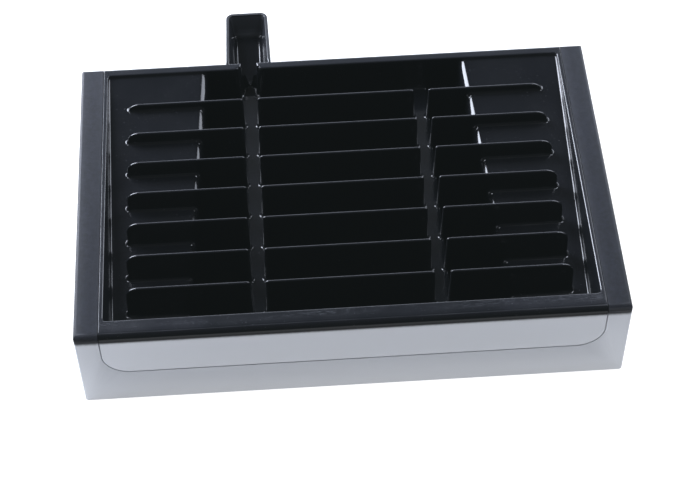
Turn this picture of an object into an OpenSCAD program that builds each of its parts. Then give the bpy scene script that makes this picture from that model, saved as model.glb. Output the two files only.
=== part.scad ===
// Baffled drip tray in a two-part moulded housing.
// X runs across the tray, Y from the front face to the back, Z up.
// Heights are measured from the surface the feet stand on; the places along Y that the
// modules use are distances behind the front face, and place() moves them to the origin.

/* [Housing] */
// Width over the side rails
body_w = 240; // [232:1:260]
// Length from the front face to the rear face, without the drain trough
body_l = 157.5; // [156:0.5:162]
// Height of the rim above the standing surface
body_h = 47; // [46:0.5:56]
// Width of the matte rail on each side
rail_w = 10.5; // [9.5:0.5:12]
// Wall thickness of both mouldings
wall = 2.2; // [1.8:0.1:2.4]
// Radius along the top front edge
front_edge_r = 3.5; // [2:0.5:4]
// Radius along the top of the sides and the rear
top_edge_r = 1.6; // [0.8:0.2:2]
// Radius of the upright corners
corner_r = 1.6; // [1:0.2:3]

/* [Tray] */
// Gap all round between the lift-out tray and the outer shell
tray_gap = 0.3; // [0.25:0.05:0.5]
// Width of the front part of the rim
front_rim = 9.2; // [8:0.2:12]
// Width of the rear part of the rim
rear_rim = 4.7; // [4.2:0.1:5]
// Width of the side parts of the rim
side_rim = 2; // [1.6:0.1:2.6]
// Height of the lower edge of the front flap
flap_z = 21.1; // [18:0.5:26]
// Radius of the lower corners of the front flap
flap_r = 12; // [6:0.5:14]

/* [Baffles] */
// Distance of the first baffle behind the front face
first_baffle = 25.9; // [24:0.1:28]
// Distance from one baffle to the next
baffle_pitch = 18; // [16:0.1:18.2]
// How far the baffle tops stand below the rim
baffle_drop = 0.4; // [0.2:0.1:2]
// Thickness of a baffle at its top
baffle_top_t = 1.3; // [1:0.1:1.6]
// Draft of a baffle on each side, in degrees
baffle_draft = 1.8; // [1:0.1:2]
// Half length of a baffle, out to its rounded outer end
baffle_reach = 98.2; // [94:0.2:100]
// Radius of the outer top corners of a baffle
baffle_end_r = 5.5; // [3:0.5:6]

/* [Channels and ledges] */
// Distance of each through channel from the middle
channel_x = 40.4; // [36:0.2:44]
// Clear width of a channel between the baffle ends
channel_w = 6.8; // [6:0.2:8]
// Width of the raised strip that floors a channel
strip_w = 9.5; // [9:0.1:11]
// Height of the channel floor at the front
strip_front_z = 23.3; // [20:0.1:26]
// Height of the channel floor at the rear
strip_rear_z = 27.9; // [26:0.1:29]
// Height of the side ledges at the front
ledge_front_z = 25.6; // [24:0.2:30]
// Height of the side ledges at the rear
ledge_rear_z = 45.6; // [40:0.2:45.6]
// Distance of the ledge's inner edge from the middle at the front
ledge_front_x = 72.2; // [68:0.2:76]
// Distance of the ledge's inner edge from the middle at the rear
ledge_rear_x = 60.6; // [60:0.2:68]

/* [Drain trough] */
// How far the trough stands out behind the housing
trough_l = 33; // [20:0.5:40]
// Outer width of the trough where it leaves the housing
trough_w = 21.5; // [18:0.1:24]
// Outer width of the trough at its far end
trough_end_w = 20.1; // [16:0.1:22]
// Width of the notch through the rear wall
notch_w = 7.2; // [6:0.1:8]
// Height of the trough floor at its far end
trough_end_z = 35; // [29:0.2:36]

/* [Small parts] */
// How far the rubber feet stand out below the shell
foot_stand = 0.6; // [0.4:0.1:1.5]
// Radius of a foot
foot_r = 6; // [5:0.5:8]
// Radius of the magnet that tells the machine the tray is in
magnet_r = 4; // [3:0.5:5]

/* [Hidden] */
$fn = 64;
eps = 0.01;

total_l = body_l + trough_l;
half_w = body_w / 2;
rail_in = half_w - rail_w;             // inner face of the side rails
tray_x = rail_in - tray_gap;           // outer face of the tray's side walls
basin_x = tray_x - side_rim;           // inner face of the tray's side walls
basin_y0 = front_rim;                  // inner face of the tray's front wall
basin_y1 = body_l - rear_rim;          // inner face of the tray's rear wall
flap_t = 2.1;
skin_y = flap_t + tray_gap;            // thickness of the shell's front skin
rear_y = basin_y1 + wall + tray_gap;   // inner face of the shell's rear skin
tray_rear = basin_y1 + wall;           // outer face of the tray's rear wall
shell_z0 = foot_stand;                 // lowest edge of the shell
shell_floor_z = shell_z0 + 0.6;        // underside of the shell's floor
shell_floor_top = shell_floor_z + 2;
rest_rib_h = 0.28;                     // ribs that the tray stands on
tray_z0 = shell_floor_top + 0.3;       // underside of the tray
well_z = tray_z0 + wall;               // floor of the wells
skirt_z = 23.1;                        // lower edge of the tray's rear skirt
rebate_z = 38;                         // top of the shell wall behind the front flap
baffle_top = body_h - baffle_drop;

// Contacts and magnet
contact_x = [10, 26];
contact_z = 13;
contact_r = 2;
contact_head_r = 4;
contact_head_t = 1;
seal_r = 4.5;
seal_t = 0.8;
magnet_x = 92;
magnet_z = 12.5;
magnet_l = 5;
boss_l = 9;
cap_t = 1.2;
cap_r = magnet_r + 1.1;

// Trough
trough_wall = 1.8;
trough_corner_r = 3.6;
arc_steps = 8;

// Feet
foot_x = 95;
foot_y = [22, 135];
foot_sink = 1;

// Height of the channel floor, the ledges and the trough floor at distance y
function strip_top(y) = strip_front_z
    + (y - basin_y0) * (strip_rear_z - strip_front_z) / (basin_y1 - basin_y0);
function ledge_top(y) = ledge_front_z
    + (y - basin_y0) * (ledge_rear_z - ledge_front_z) / (basin_y1 - basin_y0);
function ledge_x(y) = ledge_front_x
    + (y - basin_y0) * (ledge_rear_x - ledge_front_x) / (basin_y1 - basin_y0);

// Moves a piece from distances behind the front face to the part's origin
module place() {
    translate([0, -total_l / 2, 0]) children();
}

// Draws a profile given as (y, z) along X, from x0 to x1
module along_x(x0, x1) {
    translate([x0, 0, 0]) rotate([90, 0, 90]) linear_extrude(x1 - x0) children();
}

// Draws a profile given as (x, z) along Y, from y0 to y1
module along_y(y0, y1) {
    translate([0, y1, 0]) rotate([90, 0, 0]) linear_extrude(y1 - y0) children();
}

// Rectangle from (a0, b0) to (a1, b1)
module rect(a0, b0, a1, b1) {
    translate([a0, b0]) square([a1 - a0, b1 - b0]);
}

// Box from one corner to the other
module box(x0, y0, z0, x1, y1, z1) {
    translate([x0, y0, z0]) cube([x1 - x0, y1 - y0, z1 - z0]);
}

// Rectangle whose corners carry the radii r = [low left, low right, high right, high left]
module round_rect(a0, b0, a1, b1, r) {
    difference() {
        rect(a0, b0, a1, b1);
        for (c = [[a0, b0, 1, 1, r[0]], [a1, b0, -1, 1, r[1]],
                  [a1, b1, -1, -1, r[2]], [a0, b1, 1, -1, r[3]]])
            if (c[4] > 0)
                translate([c[0], c[1]]) scale_corner(c[2], c[3]) corner_cut(c[4]);
    }
}

// Turns a corner cut into the quadrant that points along (sx, sy)
module scale_corner(sx, sy) {
    mirror([sx < 0 ? 1 : 0, 0]) mirror([0, sy < 0 ? 1 : 0]) children();
}

// The material outside a radius r in the corner at the origin
module corner_cut(r) {
    difference() {
        rect(-1, -1, r, r);
        translate([r, r]) circle(r);
    }
}

// The housing's outside: a block with its edges rounded, which shell and tray share
module envelope() {
    intersection() {
        linear_extrude(body_h)
            round_rect(-half_w, 0, half_w, body_l, [corner_r, corner_r, corner_r, corner_r]);
        along_x(-half_w - 1, half_w + 1)
            round_rect(0, 0, body_l, body_h, [0, 0, top_edge_r, front_edge_r]);
        along_y(-1, body_l + 1)
            round_rect(-half_w, 0, half_w, body_h, [0, 0, top_edge_r, top_edge_r]);
    }
}

// Outline of the opening that the front flap or the rear skirt hangs in
module drop_outline(x, z, r) {
    round_rect(-x, z, x, body_h + 1, [r, r, 0, 0]);
}

module shell_rails() {
    rib_count = 5;
    rib_t = 1.6;
    for (side = [0, 1]) mirror([side, 0, 0]) {
        box(half_w - wall, 0, shell_z0, half_w, body_l, body_h);
        box(rail_in, 0, body_h - wall, half_w, body_l, body_h);
        box(rail_in, 0, shell_floor_z, rail_in + 2, body_l, body_h);
        for (i = [1:rib_count])
            translate([0, i * body_l / (rib_count + 1), 0])
                box(rail_in + 1, -rib_t / 2, 8, half_w - 1, rib_t / 2, body_h - 1);
    }
}

module shell_front() {
    difference() {
        box(-half_w, 0, shell_z0, half_w, skin_y, body_h);
        along_y(-1, skin_y + 1) drop_outline(rail_in, flap_z - tray_gap, flap_r + tray_gap);
    }
    box(-rail_in - 1, skin_y - eps, shell_floor_z, rail_in + 1, skin_y + wall, rebate_z);
}

module shell_rear() {
    difference() {
        box(-half_w, rear_y, shell_z0, half_w, body_l, body_h);
        along_y(rear_y - 1, body_l + 1)
            drop_outline(rail_in, skirt_z - tray_gap, flap_r - 4);
        box(contact_x[0] - 8, rear_y - 1, shell_floor_top + 4,
            contact_x[1] + 8, body_l + 1, body_h);
    }
}

// Round boss behind the rear skin that holds the magnet
module magnet_boss() {
    boss_r = magnet_r + 2.6;
    difference() {
        union() {
            along_y(rear_y - boss_l, rear_y + 1)
                translate([magnet_x, magnet_z]) circle(boss_r);
            box(magnet_x - 1, rear_y - boss_l, shell_floor_top - eps,
                magnet_x + 1, rear_y + 1, magnet_z - magnet_r - 1);
        }
        along_y(rear_y - boss_l + cap_t - eps, rear_y - boss_l + cap_t + magnet_l)
            translate([magnet_x, magnet_z]) circle(magnet_r + 0.05);
        along_y(rear_y - boss_l - 1, rear_y - boss_l + cap_t)
            translate([magnet_x, magnet_z]) circle(cap_r + 0.05);
    }
}

module foot_pocket(x, y) {
    translate([x, y, shell_floor_z - 1]) cylinder(r = foot_r + 0.05, h = foot_sink + 1);
}

module outer_shell() {
    color("#3a3b3f") place() difference() {
        union() {
            intersection() {
                union() {
                    shell_rails();
                    shell_front();
                    shell_rear();
                }
                envelope();
            }
            box(-rail_in - 1, skin_y - 1, shell_floor_z, rail_in + 1, rear_y + 1, shell_floor_top);
            for (x = [-50, 0, 50])
                box(x - 1.5, 20, shell_floor_top - eps, x + 1.5, 140, shell_floor_top + rest_rib_h);
            magnet_boss();
        }
        for (side = [-1, 1]) for (y = foot_y) foot_pocket(side * foot_x, y);
    }
}

module foot(side, row) {
    color("#1b1b1c") place() translate([side * foot_x, foot_y[row], 0]) {
        cylinder(r = foot_r, h = shell_floor_z + foot_sink);
    }
}

module presence_magnet() {
    y0 = rear_y - boss_l + cap_t;
    color("#8d8f93") place() along_y(y0, y0 + magnet_l)
        translate([magnet_x, magnet_z]) circle(magnet_r);
}

module magnet_cap() {
    y0 = rear_y - boss_l;
    color("#2a2b2e") place() difference() {
        along_y(y0, y0 + cap_t) translate([magnet_x, magnet_z]) circle(cap_r);
        box(magnet_x - 0.6, y0 - 1, magnet_z - 3, magnet_x + 0.6, y0 + 0.5, magnet_z + 3);
    }
}

// Points of an arc about (x, y) with radius r, from angle a0 to a1
function arc(x, y, r, a0, a1) = [for (i = [0:arc_steps])
    let (a = a0 + (a1 - a0) * i / arc_steps) [x + r * cos(a), y + r * sin(a)]];

// Plan of the trough from y0 on, narrowing to the rear with round far corners; inset shrinks it
module trough_plan(y0, inset) {
    r = trough_corner_r - inset;
    w0 = trough_w / 2 - inset;
    w1 = trough_end_w / 2 - inset;
    len = trough_l - inset;
    taper = (w0 - w1) / len;
    angle = atan(taper);
    cv = len - r;
    cu = w0 - taper * cv - r / cos(angle);
    translate([-channel_x, body_l])
        polygon(concat([[-w0, 0], [-w0, y0 - body_l], [w0, y0 - body_l], [w0, 0]],
                       arc(cu, cv, r, angle, 90), arc(-cu, cv, r, 90, 180 - angle)));
}

// Space inside the trough and the notch: one floor that rises from the channel to the far end
module trough_room() {
    y0 = basin_y1 - 2;
    y1 = body_l + trough_wall;
    fall = (trough_end_z - strip_rear_z) / (total_l - basin_y1);
    intersection() {
        linear_extrude(body_h + 1) {
            difference() {
                trough_plan(y0, trough_wall);
                rect(-half_w, 0, 0, y1);
            }
            rect(-channel_x - notch_w / 2, y0, -channel_x + notch_w / 2, y1 + 1);
        }
        along_x(-half_w, 0) polygon([
            [y0, strip_rear_z - 2 * fall], [total_l, trough_end_z],
            [total_l, body_h + 1], [y0, body_h + 1]]);
    }
}

// One upright wall of the tray, following the ledge outside its inner edge
module end_wall(y0, y1, y_in) {
    deep_x = ledge_x(y_in) + wall;
    box(-deep_x, y0, tray_z0, deep_x, y1, body_h);
    box(-tray_x, y0, ledge_top(y_in) - wall, tray_x, y1, body_h);
}

module tray_rim() {
    color("#141517") place() difference() {
        union() {
            intersection() {
                union() {
                    box(-tray_x, 0, body_h - wall, tray_x, basin_y0, body_h);
                    box(-tray_x, basin_y1, body_h - wall, tray_x, body_l, body_h);
                }
                envelope();
            }
            end_wall(basin_y0 - wall, basin_y0, basin_y0);
            end_wall(basin_y1, tray_rear, basin_y1);
            for (side = [0, 1]) mirror([side, 0, 0])
                along_x(basin_x, tray_x)
                    polygon([[basin_y0 - wall, ledge_top(basin_y0) - wall],
                             [tray_rear, ledge_top(basin_y1) - wall],
                             [tray_rear, body_h], [basin_y0 - wall, body_h]]);
        }
        trough_room();
        for (x = contact_x)
            along_y(basin_y1 - 1, tray_rear + 1) translate([x, contact_z]) circle(contact_r + 0.05);
    }
}

module front_flap() {
    color("#b0b5ba") place() intersection() {
        envelope();
        along_y(0, flap_t) intersection() {
            drop_outline(tray_x, flap_z, flap_r);
            rect(-tray_x, 0, tray_x, body_h - wall);
        }
    }
}

module rear_skirt() {
    color("#141517") place() difference() {
        intersection() {
            envelope();
            along_y(rear_y, body_l) intersection() {
                drop_outline(tray_x, skirt_z, flap_r - 4 - tray_gap);
                rect(-tray_x, 0, tray_x, body_h - wall);
            }
        }
        box(-channel_x - trough_w / 2 - 0.05, rear_y - 1, strip_rear_z - wall,
            -channel_x + trough_w / 2 + 0.05, body_l + 1, body_h);
    }
}

module tray_floor() {
    color("#141517") place() translate([0, 0, tray_z0]) linear_extrude(wall)
        polygon([[-ledge_front_x, basin_y0], [ledge_front_x, basin_y0],
                 [ledge_rear_x, basin_y1], [-ledge_rear_x, basin_y1]]);
}

// The region outside a line set off from the ledge's inner edge, below a plane set off
// from the ledge's top
module ledge_block(shift, drop) {
    intersection() {
        linear_extrude(body_h)
            polygon([[ledge_front_x + shift, basin_y0], [basin_x, basin_y0],
                     [basin_x, basin_y1], [ledge_rear_x + shift, basin_y1]]);
        along_x(0, basin_x)
            polygon([[basin_y0, tray_z0], [basin_y1, tray_z0],
                     [basin_y1, ledge_top(basin_y1) - drop],
                     [basin_y0, ledge_top(basin_y0) - drop]]);
    }
}

module ledge(side) {
    color("#17181a") place() mirror([side < 0 ? 1 : 0, 0, 0]) difference() {
        ledge_block(0, 0);
        translate([0, 0, -eps]) ledge_block(wall, wall);
    }
}

// Raised strip between the wells, narrower by inset on each side and lower by drop
module strip_block(inset, drop) {
    half_top = strip_w / 2 - inset;
    half_foot = half_top + 0.6;
    intersection() {
        along_y(basin_y0, basin_y1) polygon([
            [channel_x - half_foot, well_z], [channel_x + half_foot, well_z],
            [channel_x + half_top, body_h], [channel_x - half_top, body_h]]);
        along_x(0, half_w) polygon([
            [basin_y0, well_z], [basin_y1, well_z],
            [basin_y1, strip_top(basin_y1) - drop], [basin_y0, strip_top(basin_y0) - drop]]);
    }
}

module channel(side) {
    color("#141517") place() mirror([side < 0 ? 1 : 0, 0, 0]) difference() {
        strip_block(0, 0);
        translate([0, 0, -eps]) strip_block(wall - 0.3, wall - 0.3);
    }
}

// Section of a baffle across its length: drafted sides and a round top
module baffle_section() {
    r = baffle_top_t / 2;
    foot = r + (baffle_top - well_z) * tan(baffle_draft);
    polygon([[-foot, well_z], [foot, well_z], [r, baffle_top - r], [-r, baffle_top - r]]);
    translate([0, baffle_top - r]) circle(r);
}

// Outline of the baffle's outer segment seen from the front
module outer_segment() {
    x0 = channel_x + channel_w / 2;
    slope = 0.5;
    r = baffle_end_r;
    difference() {
        polygon([[x0 - slope, well_z], [baffle_reach + slope, well_z],
                 [baffle_reach, baffle_top - r], [baffle_reach - r, baffle_top - r],
                 [baffle_reach - r, baffle_top], [x0, baffle_top]]);
        translate([x0, baffle_top]) scale_corner(1, -1) corner_cut(1);
    }
    translate([baffle_reach - r, baffle_top - r]) circle(r);
}

// Outline of the baffle's middle segment seen from the front
module middle_segment() {
    x0 = channel_x - channel_w / 2;
    slope = 0.5;
    difference() {
        polygon([[-x0 - slope, well_z], [x0 + slope, well_z], [x0, baffle_top], [-x0, baffle_top]]);
        for (side = [-1, 1])
            translate([side * x0, baffle_top]) scale_corner(-side, -1) corner_cut(1);
    }
}

// A row of three segments across the tray, cut away where ledges and strips stand
module baffle(index) {
    y = first_baffle + (index - 1) * baffle_pitch;
    foot = 3;
    color("#141517") place() difference() {
        intersection() {
            translate([0, y, 0]) along_x(-half_w, half_w) baffle_section();
            along_y(y - foot, y + foot) {
                middle_segment();
                outer_segment();
                mirror([1, 0]) outer_segment();
            }
        }
        for (side = [0, 1]) mirror([side, 0, 0]) {
            ledge_block(0, 0);
            strip_block(0, 0);
        }
    }
}

module drain_trough() {
    color("#141517") place() difference() {
        intersection() {
            linear_extrude(body_h) trough_plan(tray_rear, 0);
            along_x(-half_w, 0) polygon([
                [tray_rear, strip_rear_z - wall], [total_l, trough_end_z - wall],
                [total_l, body_h], [body_l, body_h],
                [body_l, body_h - wall], [tray_rear, body_h - wall]]);
        }
        trough_room();
    }
}

module level_contact(index) {
    y_head = basin_y1 - seal_t - contact_head_t;
    color("#c9ccd0") place() translate([contact_x[index], 0, contact_z]) rotate([-90, 0, 0]) {
        translate([0, 0, y_head]) cylinder(r = contact_head_r, h = contact_head_t);
        translate([0, 0, y_head]) cylinder(r = contact_r, h = tray_rear - y_head + 0.8);
        translate([0, 0, tray_rear]) cylinder(r = 3, h = 0.8);
    }
}

module contact_seals() {
    color("#6b3328") place() for (x = contact_x)
        translate([x, basin_y1 - seal_t, contact_z]) rotate([-90, 0, 0]) difference() {
            cylinder(r = seal_r, h = seal_t);
            translate([0, 0, -1]) cylinder(r = contact_r + 0.05, h = seal_t + 2);
        }
}

outer_shell();
foot(-1, 0);  // front_left_foot
foot(1, 0);  // front_right_foot
foot(-1, 1);  // rear_left_foot
foot(1, 1);  // rear_right_foot
presence_magnet();
magnet_cap();
tray_rim();
front_flap();
rear_skirt();
tray_floor();
ledge(-1);  // left_ledge
ledge(1);  // right_ledge
channel(-1);  // left_channel
channel(1);  // right_channel
for (i = [1:7]) baffle(i);
drain_trough();
level_contact(0);  // left_level_contact
level_contact(1);  // right_level_contact
contact_seals();
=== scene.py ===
"""Looks of the baffled drip tray: a glossy black lift-out tray in a charcoal shell with a grey front.

Lengths below are in millimetres. A point is given as x, y, z with y counted from the front face of
the housing and z from the surface that it stands on; build() turns that into the frame's metres.
"""
import math

import bmesh
import bpy
import numpy as np
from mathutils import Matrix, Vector


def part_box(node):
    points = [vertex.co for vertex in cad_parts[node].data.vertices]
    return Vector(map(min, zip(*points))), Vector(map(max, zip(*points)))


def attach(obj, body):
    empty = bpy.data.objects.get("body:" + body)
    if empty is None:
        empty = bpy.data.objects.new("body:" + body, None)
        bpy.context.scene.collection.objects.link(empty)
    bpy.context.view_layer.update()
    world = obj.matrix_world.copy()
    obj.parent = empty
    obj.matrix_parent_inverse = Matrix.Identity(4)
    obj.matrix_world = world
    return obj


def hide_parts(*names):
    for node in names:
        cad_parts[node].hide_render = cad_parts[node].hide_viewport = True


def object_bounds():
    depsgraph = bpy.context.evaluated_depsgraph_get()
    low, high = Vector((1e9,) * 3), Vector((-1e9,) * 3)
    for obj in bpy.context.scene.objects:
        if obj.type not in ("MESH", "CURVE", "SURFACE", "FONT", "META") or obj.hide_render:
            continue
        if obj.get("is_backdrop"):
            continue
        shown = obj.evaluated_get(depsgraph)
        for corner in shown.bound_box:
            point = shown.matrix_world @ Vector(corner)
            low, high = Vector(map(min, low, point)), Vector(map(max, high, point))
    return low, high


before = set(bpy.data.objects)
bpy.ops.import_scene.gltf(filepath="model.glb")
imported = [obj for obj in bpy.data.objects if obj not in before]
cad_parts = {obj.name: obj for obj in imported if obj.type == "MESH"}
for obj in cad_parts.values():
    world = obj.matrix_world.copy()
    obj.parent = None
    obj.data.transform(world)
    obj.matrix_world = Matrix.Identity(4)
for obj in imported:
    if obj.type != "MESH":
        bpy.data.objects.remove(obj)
cad_low, cad_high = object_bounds()

# ---------------------------------------------------------------- dimensions from the frame
MM = 0.001
FRONT = cad_low.y
BODY_H = cad_high.z / MM


def node_box(name):
    """Lowest and highest corner of a CAD node in millimetres, y from the front face."""
    low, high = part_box(name)
    shift = Vector((0, FRONT, 0))
    return (low - shift) / MM, (high - shift) / MM


BODY_L = node_box("outer_shell")[1].y
TRAY_X = node_box("tray_rim")[1].x
TRAY_Z0 = node_box("tray_floor")[0].z
WELL_Z = node_box("tray_floor")[1].z
BASIN_Y0, BASIN_Y1 = node_box("tray_floor")[0].y, node_box("tray_floor")[1].y
LEDGE_REAR_Z = node_box("left_ledge")[1].z
STRIP_REAR_Z = node_box("left_channel")[1].z
FLAP_Z = node_box("front_flap")[0].z
SKIRT_Z = node_box("rear_skirt")[0].z
TOTAL_L = node_box("drain_trough")[1].y
TROUGH_LOW, TROUGH_HIGH = node_box("drain_trough")
CHANNEL_X = -(TROUGH_LOW.x + TROUGH_HIGH.x) / 2
BAFFLES = [f"baffle_{i}" for i in range(1, 8)]

# ---------------------------------------------------------------- the tray's own dimensions
# Ledges and channel strips slope down to the front; a ledge is also wider at the rear.
LEDGE_FRONT_Z = 25.6
STRIP_FRONT_Z = 23.3
LEDGE_FRONT_X, LEDGE_REAR_X = 71.6, 60.0
LEDGE_EDGE_R = 3.7
STRIP_HALF, STRIP_EDGE_R = 4.75, 0.8
LEDGE_DRAFT, STRIP_DRAFT = math.tan(math.radians(3)), math.tan(math.radians(1.6))
WELL_FILLET, WELL_FILLET_START = 2.0, 0.06

# Rim and walls
SIDE_RIM = 1.9
WALL = 2.2
SIDE_DRAFT_DEG = 4.4
RIM_EDGE_R = 0.7          # edge between rim and inner wall
RIM_CORNER_R = 1.8        # upright corners of the basin
FOOT_FILLET = 1.05        # where a wall meets a ledge
FRONT_EDGE_R = 3.5
REAR_EDGE_R = 1.6
SEAM_EDGE_R = 0.15        # edge of the tray beside the shell's rails
UNDER_EDGE_R, UNDER_STRIP_HALF = 0.5, 2.6
FLAP_TOP_Z = 43.3
FLAP_T, FLAP_R = 2.1, 12
SKIRT_R = 7.7

# Notch in the rear wall and the drain trough behind it
NOTCH_HALF = 3.6
NOTCH_ROUND = 3.8         # how softly the notch runs into the basin
NOTCH_AHEAD, NOTCH_BEHIND = 9, 14
TROUGH_HALF0 = (TROUGH_HIGH.x - TROUGH_LOW.x) / 2
TROUGH_HALF1 = TROUGH_HALF0 - 0.7
TROUGH_L = TOTAL_L - BODY_L
TROUGH_CORNER_R = 3.6
TROUGH_WALL = 1.6
TROUGH_EDGE_R = 0.35
TROUGH_START = BODY_L - 0.6
TROUGH_END_Z = 35.0
TROUGH_FILLET = 1.9
TROUGH_SOLE_R = 1.4

# Baffles
BAFFLE_R = 0.65           # half the thickness of the rounded top
BAFFLE_DRAFT = math.tan(math.radians(1.8))
BAFFLE_FILLET, CROSSING_FILLET = 1.3, 1.1   # at the foot; added where it crosses a ledge's edge
CROSSING_WIDTH = 3.0
BAFFLE_FLARE = 0.3        # ring beyond the fillet, which sinks into the tray's surface
BAFFLE_SINK = 0.025
BAFFLE_ROOT = 0.7         # depth of the hidden underside below that surface
BAFFLE_END_R, BAFFLE_GAP_R = 5.5, 1.3
BAFFLE_REACH = 98.2       # from the middle to the outer end
BAFFLE_CLEAR = 0.9        # how far above the ledge the round end begins
BAFFLE_TALL = 20.0        # more than the corner radius: the segment's end is upright
CHANNEL_HALF = 3.4
LEVEL = 1e9               # draft of a surface that stays level past its rounded edge


# ---------------------------------------------------------------- heights of the tray's surface
def fall(d, r, draft):
    """Drop of a surface past a convex edge of radius r that starts at d = 0, then a drafted wall."""
    arc = r - np.sqrt(np.maximum(r * r - np.clip(d, 0, r) ** 2, 0))
    return arc + np.maximum(d - r, 0) / draft


def fillet(d, r):
    """Height of a concave fillet of radius r over the floor, at distance d from the wall's foot."""
    return r - np.sqrt(np.maximum(r * r - (r - np.clip(d, 0, r)) ** 2, 0))


def along(y, front, rear):
    """Value at y of something that changes evenly from the front of the basin to its rear."""
    return front + (y - BASIN_Y0) * (rear - front) / (BASIN_Y1 - BASIN_Y0)


def ledge_top(y):
    """Height of the side ledges, which slope down to the front."""
    return along(y, LEDGE_FRONT_Z, LEDGE_REAR_Z)


def ledge_x(y):
    """Distance of a ledge's inner edge from the middle."""
    return along(y, LEDGE_FRONT_X, LEDGE_REAR_X)


def strip_top(y):
    """Height of the raised strips in the two channels."""
    return along(y, STRIP_FRONT_Z, STRIP_REAR_Z)


def trough_floor(y):
    """Height of the trough's floor, which carries on from the left strip and rises to the far end."""
    return STRIP_REAR_Z + (y - BASIN_Y1) * (TROUGH_END_Z - STRIP_REAR_Z) / (TOTAL_L - BASIN_Y1)


def trough_half(y):
    """Half width of the trough's outline at y, with its tapered sides and round far corners."""
    taper = (TROUGH_HALF0 - TROUGH_HALF1) / TROUGH_L
    side = TROUGH_HALF0 - taper * (y - BODY_L)
    centre_y = TOTAL_L - TROUGH_CORNER_R
    centre_x = TROUGH_HALF0 - taper * (centre_y - BODY_L) - TROUGH_CORNER_R
    past = np.clip(y - centre_y, 0, TROUGH_CORNER_R)
    arc = centre_x + np.sqrt(np.maximum(TROUGH_CORNER_R ** 2 - past ** 2, 0))
    return np.where(y > centre_y, np.minimum(side, arc), side)


def rounded(d_a, d_b, r):
    """Depth inside two crossing edges that meet in a corner of radius r."""
    qa, qb = r - d_a, r - d_b
    outside = np.sqrt(np.maximum(qa, 0) ** 2 + np.maximum(qb, 0) ** 2)
    return r - outside - np.minimum(np.maximum(qa, qb), 0)


def trough_depth_in(x, y, wall, r):
    """Distance inside the trough's outline drawn in by wall."""
    taper = (TROUGH_HALF0 - TROUGH_HALF1) / TROUGH_L
    side = TROUGH_HALF0 - wall - taper * (y - BODY_L) - np.abs(x + CHANNEL_X)
    return rounded(side, TOTAL_L - wall - y, r)


def soft_max(a, b, k):
    """Larger of a and b, blended where they differ by less than k."""
    return np.maximum(a, b) + np.maximum(k - np.abs(a - b), 0) ** 2 / (4 * k)


def wall_depth(x, y):
    """Distance inside the open plan of basin, notch and trough; negative over rim and walls."""
    d_x = TRAY_X - SIDE_RIM - np.abs(x)
    d_y = np.minimum(y - BASIN_Y0, BASIN_Y1 - y)
    basin = rounded(d_x, d_y, RIM_CORNER_R)
    notch = np.minimum(NOTCH_HALF - np.abs(x + CHANNEL_X), TROUGH_START + NOTCH_BEHIND - y)
    notch = np.minimum(notch, y - BASIN_Y1 + NOTCH_AHEAD)
    trough = np.minimum(trough_depth_in(x, y, TROUGH_WALL, TROUGH_CORNER_R - TROUGH_WALL),
                        y - TROUGH_START)
    return np.maximum(soft_max(basin, notch, NOTCH_ROUND), trough)


def wall_draft(x, y):
    """Tangent of the wall's draft: small at the ends and in the notch, larger at the sides."""
    degrees = [2, SIDE_DRAFT_DEG, 1, 5, 10]
    end_tan, side_tan, notch_tan, far_tan, trough_tan = np.tan(np.radians(degrees))
    to_side = TRAY_X - SIDE_RIM - np.abs(x)
    to_end = np.minimum(y - BASIN_Y0, BASIN_Y1 - y)
    basin = end_tan + (side_tan - end_tan) * np.clip((to_end - to_side) / 4 + 0.5, 0, 1)
    across = trough_half(y) - np.abs(x + CHANNEL_X)
    trough = far_tan + (trough_tan - far_tan) * np.clip((TOTAL_L - y - across) / 3 + 0.5, 0, 1)
    behind = np.clip((y - TROUGH_START - 0.3) / 1.2, 0, 1)
    return np.where(y < BASIN_Y1, basin, notch_tan + (trough - notch_tan) * behind)


def floor_height(x, y):
    """Wells, strips and ledges, without the walls round them."""
    ax = np.abs(x)
    d_ledge = ledge_x(y) + LEDGE_EDGE_R - ax
    ledge = ledge_top(y) - fall(d_ledge, LEDGE_EDGE_R, LEDGE_DRAFT)
    d_strip = np.abs(ax - CHANNEL_X) - (STRIP_HALF - STRIP_EDGE_R)
    strip = strip_top(y) - fall(d_strip, STRIP_EDGE_R, STRIP_DRAFT)
    well = WELL_Z + 0 * x
    ledge_foot = d_ledge - LEDGE_EDGE_R - (ledge_top(y) - LEDGE_EDGE_R - WELL_Z) * LEDGE_DRAFT
    strip_foot = d_strip - STRIP_EDGE_R - (strip_top(y) - STRIP_EDGE_R - WELL_Z) * STRIP_DRAFT
    for foot in (ledge_foot, strip_foot):
        past = np.maximum(foot, 0) + WELL_FILLET_START
        well = np.maximum(well, WELL_Z + fillet(past, WELL_FILLET) * (foot > 0))
    inside = np.maximum(np.maximum(ledge, strip), well)
    return np.where(y > BASIN_Y1, trough_floor(y), inside)


def edge_drop(x, y):
    """Drop of the rim's top towards the outer edges of the tray."""
    in_trough = np.abs(x + CHANNEL_X) < TROUGH_HALF0 - 0.001
    front = fall(FRONT_EDGE_R - y, FRONT_EDGE_R, LEVEL)
    rear = fall(y - (BODY_L - REAR_EDGE_R), REAR_EDGE_R, LEVEL) * ~in_trough
    side = fall(np.abs(x) - (TRAY_X - SEAM_EDGE_R), SEAM_EDGE_R, LEVEL)
    outline = trough_depth_in(x, y, 0, TROUGH_CORNER_R)
    lip = fall(TROUGH_EDGE_R - outline, TROUGH_EDGE_R, LEVEL) * (y > BODY_L)
    return np.maximum(np.maximum(front, rear), np.maximum(side, lip))


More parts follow.
